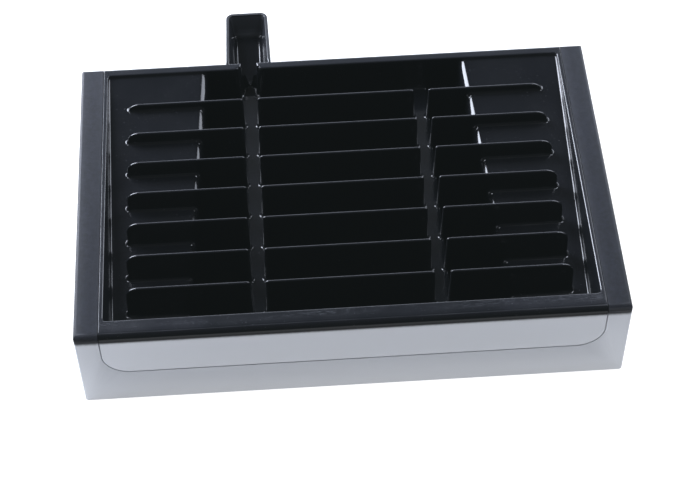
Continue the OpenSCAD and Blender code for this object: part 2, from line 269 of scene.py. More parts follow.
def tray_height(x, y):
    """Top surface of the tray without its baffles."""
    x, y = np.broadcast_arrays(np.asarray(x, float), np.asarray(y, float))
    depth, draft, base = wall_depth(x, y), wall_draft(x, y), floor_height(x, y)
    radius = np.where(y > TROUGH_START, TROUGH_FILLET, FOOT_FILLET)
    rim = BODY_H - edge_drop(x, y)
    edge_r = RIM_EDGE_R - (RIM_EDGE_R - TROUGH_EDGE_R) * np.clip((y - BODY_L) / 2, 0, 1)
    wall = BODY_H - fall(depth + edge_r, edge_r, draft)
    foot = depth - (BODY_H - RIM_EDGE_R - base) * draft + radius * draft
    low = base + np.where(foot > 0, fillet(foot, radius), 0)
    inner = np.maximum(wall, low)
    return np.where(depth < -edge_r, rim, np.minimum(inner, rim))


def tray_under(x, y):
    """Underside of the tray's moulding."""
    ax = np.abs(x)
    d_ledge = ledge_x(y) + WALL + UNDER_EDGE_R - ax
    ledge = ledge_top(y) - WALL - fall(d_ledge, UNDER_EDGE_R, LEDGE_DRAFT)
    d_strip = np.abs(ax - CHANNEL_X) - UNDER_STRIP_HALF
    strip = strip_top(y) - WALL - fall(d_strip, UNDER_EDGE_R, STRIP_DRAFT)
    shell = np.maximum(np.maximum(ledge, strip), TRAY_Z0)
    flange = np.where(y < FLAP_T, FLAP_TOP_Z, BODY_H - WALL)
    outside = np.clip((-wall_depth(x, y) - WALL + 0.2) / 0.2, 0, 1)
    outside = np.where(y > BASIN_Y1 + WALL - 0.1, 1, outside)
    under = shell + (flange - shell) * outside
    outline = trough_depth_in(x, y, 0, TROUGH_CORNER_R)
    sole = trough_floor(y) - WALL + fall(TROUGH_SOLE_R - outline, TROUGH_SOLE_R, LEVEL)
    near = (np.abs(x + CHANNEL_X) <= TROUGH_HALF0 + 0.001) & (y > BASIN_Y1 + WALL - 0.3)
    return np.where((y > BODY_L) | near, sole, under)


# ---------------------------------------------------------------- mesh helpers
def build(name, points, faces, material, body, nodes, crease=40):
    """Makes a piece from millimetre points, welds it, smooths it and lets it ride on a body."""
    points = np.asarray(points, float) * MM
    points[:, 1] += FRONT
    mesh = bpy.data.meshes.new(name)
    mesh.from_pydata(points.tolist(), [], faces)
    bm = bmesh.new()
    bm.from_mesh(mesh)
    bmesh.ops.remove_doubles(bm, verts=bm.verts, dist=2e-7)
    bmesh.ops.dissolve_degenerate(bm, dist=1e-7, edges=bm.edges)
    bmesh.ops.recalc_face_normals(bm, faces=bm.faces)
    bm.to_mesh(mesh)
    bm.free()
    mesh.polygons.foreach_set("use_smooth", [True] * len(mesh.polygons))
    mesh.set_sharp_from_angle(angle=math.radians(crease))
    piece = bpy.data.objects.new(name, mesh)
    bpy.context.scene.collection.objects.link(piece)
    mesh.materials.append(material)
    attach(piece, body)
    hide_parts(*nodes)
    return piece


def lines(*runs):
    """Sorted positions from runs of (start, end, count)."""
    found = np.concatenate([np.linspace(a, b, n) for a, b, n in runs])
    return np.unique(np.round(found, 4))


def quarter(start, end, count):
    """Positions that crowd towards start, as an arc's do near its upright tangent."""
    angle = np.linspace(0, math.pi / 2, count)
    return start + (end - start) * (1 - np.cos(angle))


def grid_solid(x, y, top, under, keep):
    """Closed solid between two height fields over the kept cells of a grid; returns points, faces."""
    columns, rows = x.shape
    index = np.arange(columns * rows).reshape(columns, rows)
    offset = columns * rows
    points = np.concatenate([np.stack([x, y, top], -1).reshape(-1, 3),
                             np.stack([x, y, under], -1).reshape(-1, 3)])
    a, b = index[:-1, :-1][keep], index[1:, :-1][keep]
    c, d = index[1:, 1:][keep], index[:-1, 1:][keep]
    faces = [np.stack([a, b, c, d], -1), np.stack([d, c, b, a], -1) + offset]
    padded = np.pad(keep, 1)
    core = padded[1:-1, 1:-1]
    for beside, p, q in ((padded[:-2, 1:-1], (0, 1), (0, 0)), (padded[2:, 1:-1], (1, 0), (1, 1)),
                         (padded[1:-1, :-2], (0, 0), (1, 0)), (padded[1:-1, 2:], (1, 1), (0, 1))):
        edge = core & ~beside
        i, j = np.nonzero(edge)
        first, second = index[i + p[0], j + p[1]], index[i + q[0], j + q[1]]
        faces.append(np.stack([second, first, first + offset, second + offset], -1))
    faces = np.concatenate(faces)
    used, renumbered = np.unique(faces, return_inverse=True)
    return points[used], renumbered.reshape(faces.shape).tolist()


# ---------------------------------------------------------------- materials
def nodes_of(name):
    """New material with its node tree and its main shader."""
    material = bpy.data.materials.new(name)
    material.use_nodes = True
    tree = material.node_tree
    return material, tree, tree.nodes["Principled BSDF"]


def add(tree, kind, **values):
    """New node with some of its settings."""
    node = tree.nodes.new(kind)
    for key, value in values.items():
        setattr(node, key, value)
    return node


def noise(tree, vector, scale, detail, rough=0.55):
    """Noise between 0 and 1; scale is in cells per metre."""
    node = add(tree, "ShaderNodeTexNoise")
    node.inputs["Scale"].default_value = scale
    node.inputs["Detail"].default_value = detail
    node.inputs["Roughness"].default_value = rough
    tree.links.new(vector, node.inputs["Vector"])
    return node.outputs["Fac"]


def remap(tree, value, low, high, to_low, to_high, smooth=False):
    """Value carried from low..high to to_low..to_high and held at both ends."""
    node = add(tree, "ShaderNodeMapRange")
    node.interpolation_type = "SMOOTHSTEP" if smooth else "LINEAR"
    for socket, number in zip(node.inputs[1:5], (low, high, to_low, to_high)):
        socket.default_value = number
    tree.links.new(value, node.inputs[0])
    return node.outputs[0]


def maths(tree, kind, a, b=None):
    """Result of a maths node; a and b are sockets or numbers."""
    node = add(tree, "ShaderNodeMath", operation=kind)
    for socket, value in zip(node.inputs, (a, b)):
        if isinstance(value, (int, float)):
            socket.default_value = value
        elif value is not None:
            tree.links.new(value, socket)
    return node.outputs[0]


def times(tree, first, *others):
    """Product of sockets and numbers."""
    for other in others:
        first = maths(tree, "MULTIPLY", first, other)
    return first


def mix_colour(tree, factor, a, b):
    """Colour that goes from a to b as factor goes from 0 to 1."""
    node = add(tree, "ShaderNodeMix", data_type="RGBA")
    for socket, value in ((node.inputs[0], factor), (node.inputs[6], a), (node.inputs[7], b)):
        if isinstance(value, tuple):
            socket.default_value = (*value, 1)
        else:
            tree.links.new(value, socket)
    return node.outputs[2]


def bump(tree, height, strength, distance):
    """Normal of a relief of the given height."""
    node = add(tree, "ShaderNodeBump")
    node.inputs["Strength"].default_value = strength
    node.inputs["Distance"].default_value = distance
    tree.links.new(height, node.inputs["Height"])
    return node.outputs["Normal"]


def object_point(tree):
    """Object coordinates: the frame's own metres."""
    return add(tree, "ShaderNodeTexCoord").outputs["Object"]


def stretched(tree, vector, scale):
    """Coordinates scaled by a different amount along each axis."""
    node = add(tree, "ShaderNodeMapping")
    node.inputs["Scale"].default_value = scale
    tree.links.new(vector, node.inputs["Vector"])
    return node.outputs["Vector"]


def split(tree, vector):
    """The x, y and z of a vector."""
    node = add(tree, "ShaderNodeSeparateXYZ")
    tree.links.new(vector, node.inputs[0])
    return node.outputs


def by_depth(tree, y, near, far, at_near, at_far, smooth=False):
    """Value that changes between two distances from the front face, in millimetres."""
    return remap(tree, y, FRONT + near * MM, FRONT + far * MM, at_near, at_far, smooth)


def by_height(tree, z, low, high, at_low, at_high, smooth=False):
    """Value that changes between two heights above the surface it stands on, in millimetres."""
    return remap(tree, z, low * MM, high * MM, at_low, at_high, smooth)


GLOSS_BLACK = (0.0038, 0.0043, 0.0056)
# Painted light: the lighter colour of up-facing ledges and of the trough, a painted reflection of the
# bright surroundings.
LEDGE_PAINTED_LIGHT = (0.0098, 0.0104, 0.0132)
# Painted light: the brighter colour of the trough's front-facing far wall, a painted fill light.
TROUGH_PAINTED_LIGHT = (0.085, 0.088, 0.098)
# Colour of the dust specks and worn edges, also used for the painted highlight line along the front
# edge.
DUST_AND_SHEEN = (0.10, 0.10, 0.11)
SCUFF = (0.12, 0.125, 0.14)
# Painted light: the rim's top is lightened as a painted reflection, more at the rear than at the
# front.
RIM_PAINTED_LIGHT = (0.0088, 0.0098, 0.0125)
CHARCOAL = (0.0046, 0.0054, 0.0079)
CHARCOAL_LIGHT = (0.0098, 0.0114, 0.0164)
PAINT = (0.515, 0.538, 0.588)
PAINT_SHADE = (0.49, 0.513, 0.56)


def worn_edges(tree):
    """Mask that rises on convex edges."""
    pointiness = add(tree, "ShaderNodeNewGeometry").outputs["Pointiness"]
    return remap(tree, pointiness, 0.52, 0.60, 0, 1)


def by_the_paint(tree, y, z):
    """Mask of the front edge just above the grey paint, where the black is duller."""
    below_top = by_height(tree, z, 44.0, 46.2, 1, 0)
    return times(tree, below_top, by_depth(tree, y, 2, 3, 1, 0))


def painted_light_on_ledges(tree, x, y, smudge):
    """Clean black with painted light: up-facing ledges and the trough are lightened as a painted
    reflection, and the trough's far wall carries a painted fill light.
    """
    _, rearward, facing = split(tree, add(tree, "ShaderNodeNewGeometry").outputs["Normal"])
    over_ledge = remap(tree, maths(tree, "ABSOLUTE", x), 61 * MM, 66 * MM, 0, 1)
    facing_up = remap(tree, facing, 0.93, 0.98, 0, 1)
    # Painted reflection on up-facing ledges, weaker towards the rear.
    on_ledge = times(tree, over_ledge, facing_up, by_depth(tree, y, 40, 135, 1, 0.2))
    in_trough = by_depth(tree, y, BODY_L + 0.5, BODY_L + 6, 0, 1)
    ledge_light = times(tree, maths(tree, "MAXIMUM", on_ledge, in_trough),
                 remap(tree, smudge, 0.3, 0.7, 0.8, 1))
    colour = mix_colour(tree, ledge_light, GLOSS_BLACK, LEDGE_PAINTED_LIGHT)
    # Painted fill light on the trough's upright walls that face the front, fading towards the floor.
    far_wall = remap(tree, rearward, -0.7, -0.35, 1, 0.12)
    far_wall_light = times(tree, in_trough, far_wall, remap(tree, facing, 0.2, 0.9, 1, 0),
                 remap(tree, smudge, 0.3, 0.7, 0.7, 1))
    return mix_colour(tree, far_wall_light, colour, TROUGH_PAINTED_LIGHT)


def scuffs(tree, point, y, on_top):
    """Mask of the rubbed streaks on the flat part of the front rim."""
    streaks = noise(tree, stretched(tree, point, (260, 1100, 1)), 1, 6, 0.75)
    patches = noise(tree, stretched(tree, point, (25, 180, 1)), 1, 3)
    rubbed = times(tree, remap(tree, streaks, 0.46, 0.66, 0, 1),
                   remap(tree, patches, 0.42, 0.62, 0, 1))
    behind_edge = by_depth(tree, y, 4.5, 6.5, 0, 1)
    before_well = by_depth(tree, y, 7.6, 9, 1, 0)
    return times(tree, rubbed, times(tree, behind_edge, before_well, on_top), 0.22)


def edge_highlight_line(tree, point, y):
    """Mask of a painted highlight: the long thin light line that wanders along the rounded front
    edge.
    """
    wander = maths(tree, "ADD", y, remap(tree, noise(tree, point, 18, 2), 0, 1, -0.0004, 0.0004))
    line = times(tree, by_depth(tree, wander, 2.3, 2.5, 0, 1), by_depth(tree, wander, 2.5, 2.7, 1, 0))
    return times(tree, line, remap(tree, noise(tree, point, 40, 4), 0.35, 0.65, 0.1, 0.5))


def gloss_plastic():
    """Glossy black moulding with faint smudges, fine dust, rubbed edges and a scuffed front rim. It
    also carries painted light: ledges, trough and rim top are lightened as a painted reflection, and
    a painted highlight line runs along the front edge.
    """
    material, tree, shader = nodes_of("tray_gloss_black")
    point = object_point(tree)
    x, y, z = split(tree, point)
    smudge = noise(tree, point, 45, 5)
    specks = noise(tree, point, 1400, 2, 0.7)
    dust = times(tree, remap(tree, specks, 0.69, 0.74, 0, 1),
                 remap(tree, noise(tree, point, 60, 3), 0.42, 0.65, 0.05, 0.9))
    on_top = by_height(tree, z, BODY_H - 1.2, BODY_H - 0.2, 0, 1)
    scuff = scuffs(tree, point, y, on_top)
    worn = times(tree, worn_edges(tree), remap(tree, smudge, 0.35, 0.7, 0.02, 0.16))
    # Painted reflection on the rim's top, stronger towards the rear.
    rim_light_share = by_depth(tree, y, 8, BODY_L - 5, 0.4, 0.95)
    # Painted light on the ledges and in the trough, beneath the dust specks.
    colour = mix_colour(tree, dust, painted_light_on_ledges(tree, x, y, smudge), DUST_AND_SHEEN)
    # Painted highlight: a thin light line along the rounded front edge, in the dust colour.
    colour = mix_colour(tree, edge_highlight_line(tree, point, y), colour, DUST_AND_SHEEN)
    colour = mix_colour(tree, times(tree, on_top, rim_light_share), colour, RIM_PAINTED_LIGHT)
    colour = mix_colour(tree, worn, colour, DUST_AND_SHEEN)
    colour = mix_colour(tree, scuff, colour, SCUFF)
    tree.links.new(colour, shader.inputs["Base Color"])

    rough = remap(tree, smudge, 0.3, 0.75, 0.11, 0.2)
    front_rim = times(tree, on_top, by_depth(tree, y, 0, 9, 1, 0.9))
    trough_lip = times(tree, on_top, by_depth(tree, y, BODY_L + 0.5, BODY_L + 2, 0, 0.2))
    for more in (times(tree, front_rim, 0.05), trough_lip, times(tree, dust, 0.4),
                 times(tree, scuff, 0.5)):
        rough = maths(tree, "ADD", rough, more)
    tree.links.new(rough, shader.inputs["Roughness"])
    level = remap(tree, by_the_paint(tree, y, z), 0, 1, 0.5, 0.1)
    tree.links.new(level, shader.inputs["Specular IOR Level"])
    tree.links.new(bump(tree, noise(tree, point, 220, 3), 0.03, 0.0004), shader.inputs["Normal"])
    return material


def rail_and_paint(name, fade_low, fade_high):
    """Fine matte charcoal whose front face carries satin grey paint that thins out upwards."""
    material, tree, shader = nodes_of(name)
    point = object_point(tree)
    _, y, z = split(tree, point)
    grain = noise(tree, point, 1500, 3, 0.6)
    cloud = noise(tree, point, 28, 4)
    mottle = remap(tree, noise(tree, point, 520, 3, 0.7), 0.35, 0.65, -0.5, 0.5)
    charcoal = mix_colour(tree, maths(tree, "ADD", cloud, mottle), CHARCOAL, CHARCOAL_LIGHT)
    charcoal = mix_colour(tree, times(tree, worn_edges(tree), 0.35), charcoal, DUST_AND_SHEEN)
    spray = noise(tree, point, 900, 4, 0.7)
    uneven = times(tree, maths(tree, "SUBTRACT", spray, 0.5), 0.0006)
    upward = by_height(tree, maths(tree, "ADD", z, uneven), fade_low, fade_high, 1, 0, smooth=True)
    backward = by_depth(tree, maths(tree, "ADD", y, uneven), 1.2, 4.5, 1, 0, smooth=True)
    painted = times(tree, upward, backward)
    grey = mix_colour(tree, noise(tree, point, 14, 3), PAINT_SHADE, PAINT)
    tree.links.new(mix_colour(tree, painted, charcoal, grey), shader.inputs["Base Color"])

    matte = remap(tree, grain, 0.3, 0.7, 0.38, 0.5)
    satin = remap(tree, cloud, 0.3, 0.7, 0.36, 0.44)
    rough = add(tree, "ShaderNodeMix", data_type="FLOAT")
    tree.links.new(painted, rough.inputs[0])
    tree.links.new(matte, rough.inputs[2])
    tree.links.new(satin, rough.inputs[3])
    tree.links.new(rough.outputs[0], shader.inputs["Roughness"])
    dull = times(tree, by_the_paint(tree, y, z), remap(tree, painted, 0, 0.6, 1, 0))
    level = maths(tree, "ADD", remap(tree, painted, 0, 1, 0.2, 0.5),
                  remap(tree, dull, 0, 1, 0, -0.1))
    tree.links.new(level, shader.inputs["Specular IOR Level"])
    relief = times(tree, grain, remap(tree, painted, 0, 1, 1, 0.15))
    tree.links.new(bump(tree, relief, 0.3, 0.0002), shader.inputs["Normal"])
    return material


def rubber(name, colour):
    """Matte rubber with a cloudy surface."""
    material, tree, shader = nodes_of(name)
    point = object_point(tree)
    cloud = noise(tree, point, 300, 4)
    light = tuple(c * 1.8 + 0.01 for c in colour)
    tree.links.new(mix_colour(tree, cloud, colour, light), shader.inputs["Base Color"])
    tree.links.new(remap(tree, cloud, 0.3, 0.7, 0.7, 0.88), shader.inputs["Roughness"])
    tree.links.new(bump(tree, noise(tree, point, 2500, 2), 0.3, 0.0001), shader.inputs["Normal"])
    return material


def metal(name, colour, low, high):
    """Metal brushed along x, with a roughness that varies from low to high."""
    material, tree, shader = nodes_of(name)
    point = object_point(tree)
    brushed = noise(tree, stretched(tree, point, (4000, 300, 300)), 1, 3)
    dark = tuple(c * 0.8 for c in colour)
    tree.links.new(mix_colour(tree, brushed, dark, colour), shader.inputs["Base Color"])
    tree.links.new(remap(tree, brushed, 0.3, 0.7, low, high), shader.inputs["Roughness"])
    tree.links.new(bump(tree, brushed, 0.15, 0.00005), shader.inputs["Normal"])
    shader.inputs["Metallic"].default_value = 1.0
    return material


TRAY_BLACK = gloss_plastic()
SHELL_FINISH = rail_and_paint("shell_charcoal_and_grey", 41.4, 44.0)
FLAP_FINISH = rail_and_paint("flap_grey_paint", 41.6, 43.6)
RUBBER = rubber("foot_rubber_black", (0.012, 0.012, 0.013))
SEAL = rubber("seal_silicone_red", (0.22, 0.045, 0.03))
STEEL = metal("contact_steel_brushed", (0.62, 0.62, 0.61), 0.22, 0.38)
NICKEL = metal("magnet_nickel_plate", (0.66, 0.64, 0.60), 0.16, 0.3)


# ---------------------------------------------------------------- tray moulding
def tray_columns(y):
    """Positions across one half at y; they follow the ledge's edge and the side wall's foot."""
    trough = (CHANNEL_X - TROUGH_HALF0, CHANNEL_X + TROUGH_HALF0)
    inner = lines((0, trough[0] - 0.02, 9), (trough[0], trough[1], 86), (trough[1] + 0.02, 54, 4))
    ledge_edge = lines((-3.4, -0.2, 12), (0, LEDGE_EDGE_R + 0.1, 18), (5.5, 5.5, 1))
    side_tan = math.tan(math.radians(SIDE_DRAFT_DEG))
    rim_x = TRAY_X - SIDE_RIM
    foot_x = rim_x - (BODY_H - RIM_EDGE_R - ledge_top(y) - FOOT_FILLET) * side_tan
    fillet_x = foot_x - quarter(0, FOOT_FILLET, 12)[::-1]
    outer = [rim_x - 0.02, *(rim_x + quarter(0, RIM_EDGE_R, 6)), TRAY_X - 0.9]
    return np.concatenate([inner, ledge_x(y) + ledge_edge, np.linspace(82, 102.5, 7), fillet_x, outer,
                           np.linspace(TRAY_X - SEAM_EDGE_R, TRAY_X, 5)])


def tray_rows():
    """Positions from front to rear, of the body and of the trough; they crowd at every bend."""
    main = np.concatenate([
        quarter(0, FRONT_EDGE_R, 10), [5, BASIN_Y0 - WALL, BASIN_Y0 - WALL + 0.2, 7.8],
        lines((BASIN_Y0 - RIM_EDGE_R, BASIN_Y0, 6), (BASIN_Y0, BASIN_Y0 + 4.4, 26)),
        np.linspace(BASIN_Y0 + 5, BASIN_Y1 - 6, 16),
        lines((BASIN_Y1 - 5, BASIN_Y1, 30), (BASIN_Y1, BASIN_Y1 + RIM_EDGE_R, 6)),
        [BASIN_Y1 + WALL - 0.2, BASIN_Y1 + WALL],
        quarter(BODY_L, BODY_L - REAR_EDGE_R, 8)])
    main = np.unique(np.round(np.append(main, [FLAP_T - 0.02, FLAP_T, TROUGH_START - RIM_EDGE_R,
                                               TROUGH_START - 0.2, TROUGH_START]), 4))
    trough = lines((BODY_L, BODY_L + 4, 14), (BODY_L + 4, TOTAL_L - 7, 8),
                   (TOTAL_L - 7, TOTAL_L - TROUGH_CORNER_R, 14))
    corner = TOTAL_L + TROUGH_CORNER_R * (np.sin(np.linspace(0, math.pi / 2, 18)) - 1)
    return main, np.unique(np.round(np.concatenate([trough, corner]), 4))


def tray_moulding():
    """The whole tray without baffles and hanging plates, as one solid between two surfaces."""
    main, trough = tray_rows()
    rows = np.unique(np.concatenate([main, trough]))
    half = np.array([tray_columns(float(np.clip(y, BASIN_Y0 - 4, BASIN_Y1))) for y in rows]).T
    x = np.concatenate([-half[::-1], half[1:]])
    y = np.broadcast_to(rows, x.shape)
    behind = y > BODY_L
    squeeze = trough_half(y) / TROUGH_HALF0
    x = np.where(behind, -CHANNEL_X + (x + CHANNEL_X) * squeeze, x)
    centre = (x[1:, :-1] + x[:-1, :-1]) / 2
    in_trough = np.abs((centre + CHANNEL_X)) < trough_half(y[1:, :-1])
    keep = (y[1:, 1:] <= BODY_L + 1e-6) | in_trough & (y[1:, :-1] >= BODY_L - 1e-6)
    top, under = tray_height(x, y), tray_under(x, y)
    under = np.minimum(under, top - 0.15)
    points, faces = grid_solid(x, y, top, under, keep)
    return build("tray_moulding", points, faces, TRAY_BLACK, "tray",
                 ["tray_rim", "tray_floor", "left_ledge", "right_ledge", "left_channel",
                  "right_channel", "drain_trough"], crease=50)


# ---------------------------------------------------------------- baffles
def baffle_section(x, y, x_a, x_b, r_a, r_b, top):
    """Height of a baffle segment from x_a to x_b with corner radii r_a, r_b; y from its middle."""
    crown = np.sqrt(np.maximum(BAFFLE_R ** 2 - y * y, 0))
    z = top - BAFFLE_R + crown
    for past, r in ((x_a + r_a - x, r_a), (x - (x_b - r_b), r_b)):
        arc = top - r + np.sqrt(np.maximum((r - BAFFLE_R + crown) ** 2 - past ** 2, 0))
        z = np.where(past > 0, arc, z)
    return z


def baffle_spokes(x_a, x_b, r_a, r_b, height_a, height_b, dense):
    """Starts of a segment's spokes on its middle line, and the x and y of their directions."""
    turn_a, turn_b = (math.asin(max(0.0, BAFFLE_CLEAR + r - height) / (r - BAFFLE_R))
                      for r, height in ((r_a, height_a), (r_b, height_b)))
    arc_a = x_a + r_a - (r_a - BAFFLE_R) * np.cos(np.linspace(turn_a, math.pi / 2, 12))
    arc_b = x_b - r_b + (r_b - BAFFLE_R) * np.cos(np.linspace(turn_b, math.pi / 2, 12))
    a, b = arc_a[0], arc_b[0]
    origin = np.concatenate([arc_a, arc_b, np.linspace(a, b, 24)]
                            + [np.linspace(p, q, n) for p, q, n in dense if a < p and q < b])
    origin = np.unique(np.round(np.clip(origin, a, b), 3))
    turn = np.linspace(-math.pi / 2, math.pi / 2, 15)[1:-1]
    start = np.concatenate([origin, np.full(turn.size, b), origin[::-1], np.full(turn.size, a)])
    dir_x = np.concatenate([0 * origin, np.cos(turn), 0 * origin, -np.cos(turn)])
    dir_y = np.concatenate([0 * origin - 1, np.sin(turn), 0 * origin + 1, -np.sin(turn)])
    return start, dir_x, dir_y


def spoke_solid(x, y, top, under):
    """Closed solid between two surfaces given along spokes; returns points, faces."""
    points = np.concatenate([np.stack([x, y, top], -1).reshape(-1, 3),
                             np.stack([x, y, under], -1).reshape(-1, 3)])
    spokes, count = x.shape
    offset = spokes * count
    index = np.arange(offset).reshape(spokes, count)
    index = np.concatenate([index, index[:1]])
    quads = np.stack([index[:-1, :-1], index[:-1, 1:], index[1:, 1:], index[1:, :-1]], -1)
    quads = quads.reshape(-1, 4)
    rim = np.stack([index[:-1, -1], index[:-1, -1] + offset, index[1:, -1] + offset,
                    index[1:, -1]], -1)
    return points, np.concatenate([quads, quads[:, ::-1] + offset, rim])


def baffle_segment(x_a, x_b, r_a, r_b, height_a, height_b, y_mid, top, dense):
    """Points and faces of one segment: spokes leave its middle line all round and run down it.

    height_a and height_b are how far the segment stands up at its two ends.
    """
    start, dir_x, dir_y = baffle_spokes(x_a, x_b, r_a, r_b, height_a, height_b, dense)
    edge_z = baffle_section(start, np.full(start.shape, BAFFLE_R), x_a, x_b, r_a, r_b, top)

    # How far out the drafted wall meets the tray; the tray's own slope makes this a few rounds.
    foot = np.full(start.shape, 1.0)
    for _ in range(4):
        base = tray_height(start + dir_x * (BAFFLE_R + foot), y_mid + dir_y * (BAFFLE_R + foot))
        foot = np.maximum((edge_z - base) * BAFFLE_DRAFT, 0.05)
    to_edge = np.abs(start + dir_x * BAFFLE_R) - ledge_x(y_mid)
    blend = BAFFLE_FILLET + CROSSING_FILLET * np.exp(-(to_edge / CROSSING_WIDTH) ** 2)
    begin = np.maximum(foot - blend * BAFFLE_DRAFT, 0.02)

    # Rings over the rounded top, down the wall, round the fillet and into the tray's surface.
    rings = [BAFFLE_R * math.sin(t) + 0 * start for t in np.linspace(0, math.pi / 2, 7)]
    rings += [BAFFLE_R + begin * share for share in (0.34, 0.67)]
    rings += [BAFFLE_R + begin + blend * (1 - math.cos(t))
              for t in np.linspace(0, math.pi / 2, 8)]
    rings += [rings[-1] + BAFFLE_FLARE]
    reach = np.array(rings).T
    x, y = start[:, None] + dir_x[:, None] * reach, dir_y[:, None] * reach
    base = tray_height(x, y_mid + y)
    bead = baffle_section(x, y, x_a, x_b, r_a, r_b, top)
    past = reach - BAFFLE_R
    wall = np.where(past > 0, edge_z[:, None] - past / BAFFLE_DRAFT, bead)
    low = base + fillet(past - begin[:, None], blend[:, None])
    z = np.where(past <= begin[:, None] + 1e-6, wall, low)
    step = 0.02
    slope = np.hypot(tray_height(x + step, y_mid + y) - base,
                     tray_height(x, y_mid + y + step) - base) / step
    z[:, -1] = base[:, -1] - BAFFLE_SINK * np.sqrt(1 + slope[:, -1] ** 2)
    return spoke_solid(x, y_mid + y, z, np.minimum(base, z) - BAFFLE_ROOT)


def baffle(name):
    """A row of three segments, the outer ones ending on the ledges."""
    low, high = node_box(name)
    y_mid, top = (low.y + high.y) / 2, high.z
    ledge = float(ledge_top(y_mid))
    low_end = top - ledge
    gap_out, gap_in = CHANNEL_X + CHANNEL_HALF, CHANNEL_X - CHANNEL_HALF
    inner_edge = float(ledge_x(y_mid))
    dense = [(s * c + p, s * c + q, n) for s in (-1, 1)
             for c, p, q, n in ((CHANNEL_X, -5.4, -3.4, 14), (CHANNEL_X, 3.4, 5.4, 14),
                                (inner_edge, -2.2, 2.8, 20))]
    points, faces, used = [], [], 0
    for x_a, x_b, r_a, r_b, height_a, height_b in (
            (-BAFFLE_REACH, -gap_out, BAFFLE_END_R, BAFFLE_GAP_R, low_end, BAFFLE_TALL),
            (-gap_in, gap_in, BAFFLE_GAP_R, BAFFLE_GAP_R, BAFFLE_TALL, BAFFLE_TALL),
            (gap_out, BAFFLE_REACH, BAFFLE_GAP_R, BAFFLE_END_R, BAFFLE_TALL, low_end)):
        p, f = baffle_segment(x_a, x_b, r_a, r_b, height_a, height_b, y_mid, top, dense)
        points.append(p)
        faces.append(f + used)
        used += len(p)
    return build(name + "_row", np.concatenate(points), np.concatenate(faces).tolist(),
                 TRAY_BLACK, "tray", [name], crease=60)


# ---------------------------------------------------------------- hanging plates
def drop_outline(half, low, high, r):
    """U-shaped outline with round lower corners, from the upper left round to the upper right."""
    arc = np.linspace(0, math.pi / 2, 17)
    left = [(-half + r - r * math.cos(t), low + r - r * math.sin(t)) for t in arc]
    return [(-half, high)] + left + [(-x, z) for x, z in left[::-1]] + [(half, high)]


def plate(name, half, low, high, r, y_out, y_in, material, node, gap=None):
    """Plate in the XZ plane whose outer face has a rounded edge along its sides and bottom."""
    edge_r, back_edge = 0.4, 0.25
    sign = 1 if y_in > y_out else -1
    rings = [(edge_r * (1 - math.sin(t)), edge_r * (1 - math.cos(t)))
             for t in np.linspace(0, math.pi / 2, 6)]
    loops = [[(x, y_out + sign * out, z) for x, z in drop_outline(half - inn, low + inn, high,
                                                                  r - inn)]
             for inn, out in rings]
    back = drop_outline(half - back_edge, low + back_edge, high, r - back_edge)
    loops = [[(x, y_in, z) for x, z in back],
             [(x, y_in - sign * back_edge, z) for x, z in drop_outline(half, low, high, r)],
             *loops[::-1]]
    if gap:
        gap_low, gap_high, gap_z = gap
        opening = [(gap_high, high), (gap_high, gap_z), (gap_low, gap_z), (gap_low, high)]
        loops = [loop + [(x, loop[0][1], z) for x, z in opening] for loop in loops]
    count = len(loops[0])
    points = [p for loop in loops for p in loop]
    faces = [[i * count + j, i * count + (j + 1) % count, (i + 1) * count + (j + 1) % count,
              (i + 1) * count + j] for i in range(len(loops) - 1) for j in range(count)]
    faces += [list(range(count))[::-1], [(len(loops) - 1) * count + j for j in range(count)]]
    return build(name, points, faces, material, "tray", [node])


# ---------------------------------------------------------------- refined copies of CAD solids
def refined(name, node, material, body, width):
    """Copy of a CAD solid with its flat faces joined up again and its sharp edges broken."""
    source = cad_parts[node]
    mesh = source.data.copy()
    mesh.materials.clear()
    mesh.materials.append(material)
    bm = bmesh.new()
    bm.from_mesh(mesh)
    bmesh.ops.remove_doubles(bm, verts=bm.verts, dist=1e-5)
    bmesh.ops.dissolve_limit(bm, angle_limit=math.radians(1), verts=bm.verts, edges=bm.edges)
    bm.to_mesh(mesh)
    bm.free()
    piece = bpy.data.objects.new(name, mesh)
    bpy.context.scene.collection.objects.link(piece)
    mesh.polygons.foreach_set("use_smooth", [True] * len(mesh.polygons))
    edges = piece.modifiers.new("edges", "BEVEL")
    edges.width = width * MM
    edges.segments = 2
    edges.limit_method = "ANGLE"
    edges.angle_limit = math.radians(35)
    edges.harden_normals = True
    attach(piece, body)
    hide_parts(node)
    return piece


# ---------------------------------------------------------------- turned small parts
def turned(name, profile, centre, axis, material, body, node):
    """Solid of revolution; profile is (distance along axis, radius) from one end to the other."""
    points, faces, steps = [], [], 48
    for along_axis, r in profile:
        for i in range(steps):
            t = 2 * math.pi * i / steps
            p, q = r * math.cos(t), r * math.sin(t)
            local = (p, q, along_axis) if axis == "z" else (p, along_axis, q)
            points.append([c + v for c, v in zip(centre, local)])
    for k in range(len(profile) - 1):
        for i in range(steps):
            j = (i + 1) % steps
            faces.append([k * steps + i, k * steps + j, (k + 1) * steps + j, (k + 1) * steps + i])
    return build(name, points, faces, material, body, [node], crease=35)


tray_moulding()
for row in BAFFLES:
    baffle(row)
plate("front_flap_painted", TRAY_X, FLAP_Z, FLAP_TOP_Z, FLAP_R, 0, FLAP_T, FLAP_FINISH,
      "front_flap")
plate("rear_skirt_plate", TRAY_X, SKIRT_Z, BODY_H - WALL, SKIRT_R, BODY_L, BODY_L - WALL,
      TRAY_BLACK, "rear_skirt",
      gap=(TROUGH_LOW.x - 0.05, TROUGH_HIGH.x + 0.05, STRIP_REAR_Z - WALL))
refined("outer_shell_moulding", "outer_shell", SHELL_FINISH, "shell", 0.4)

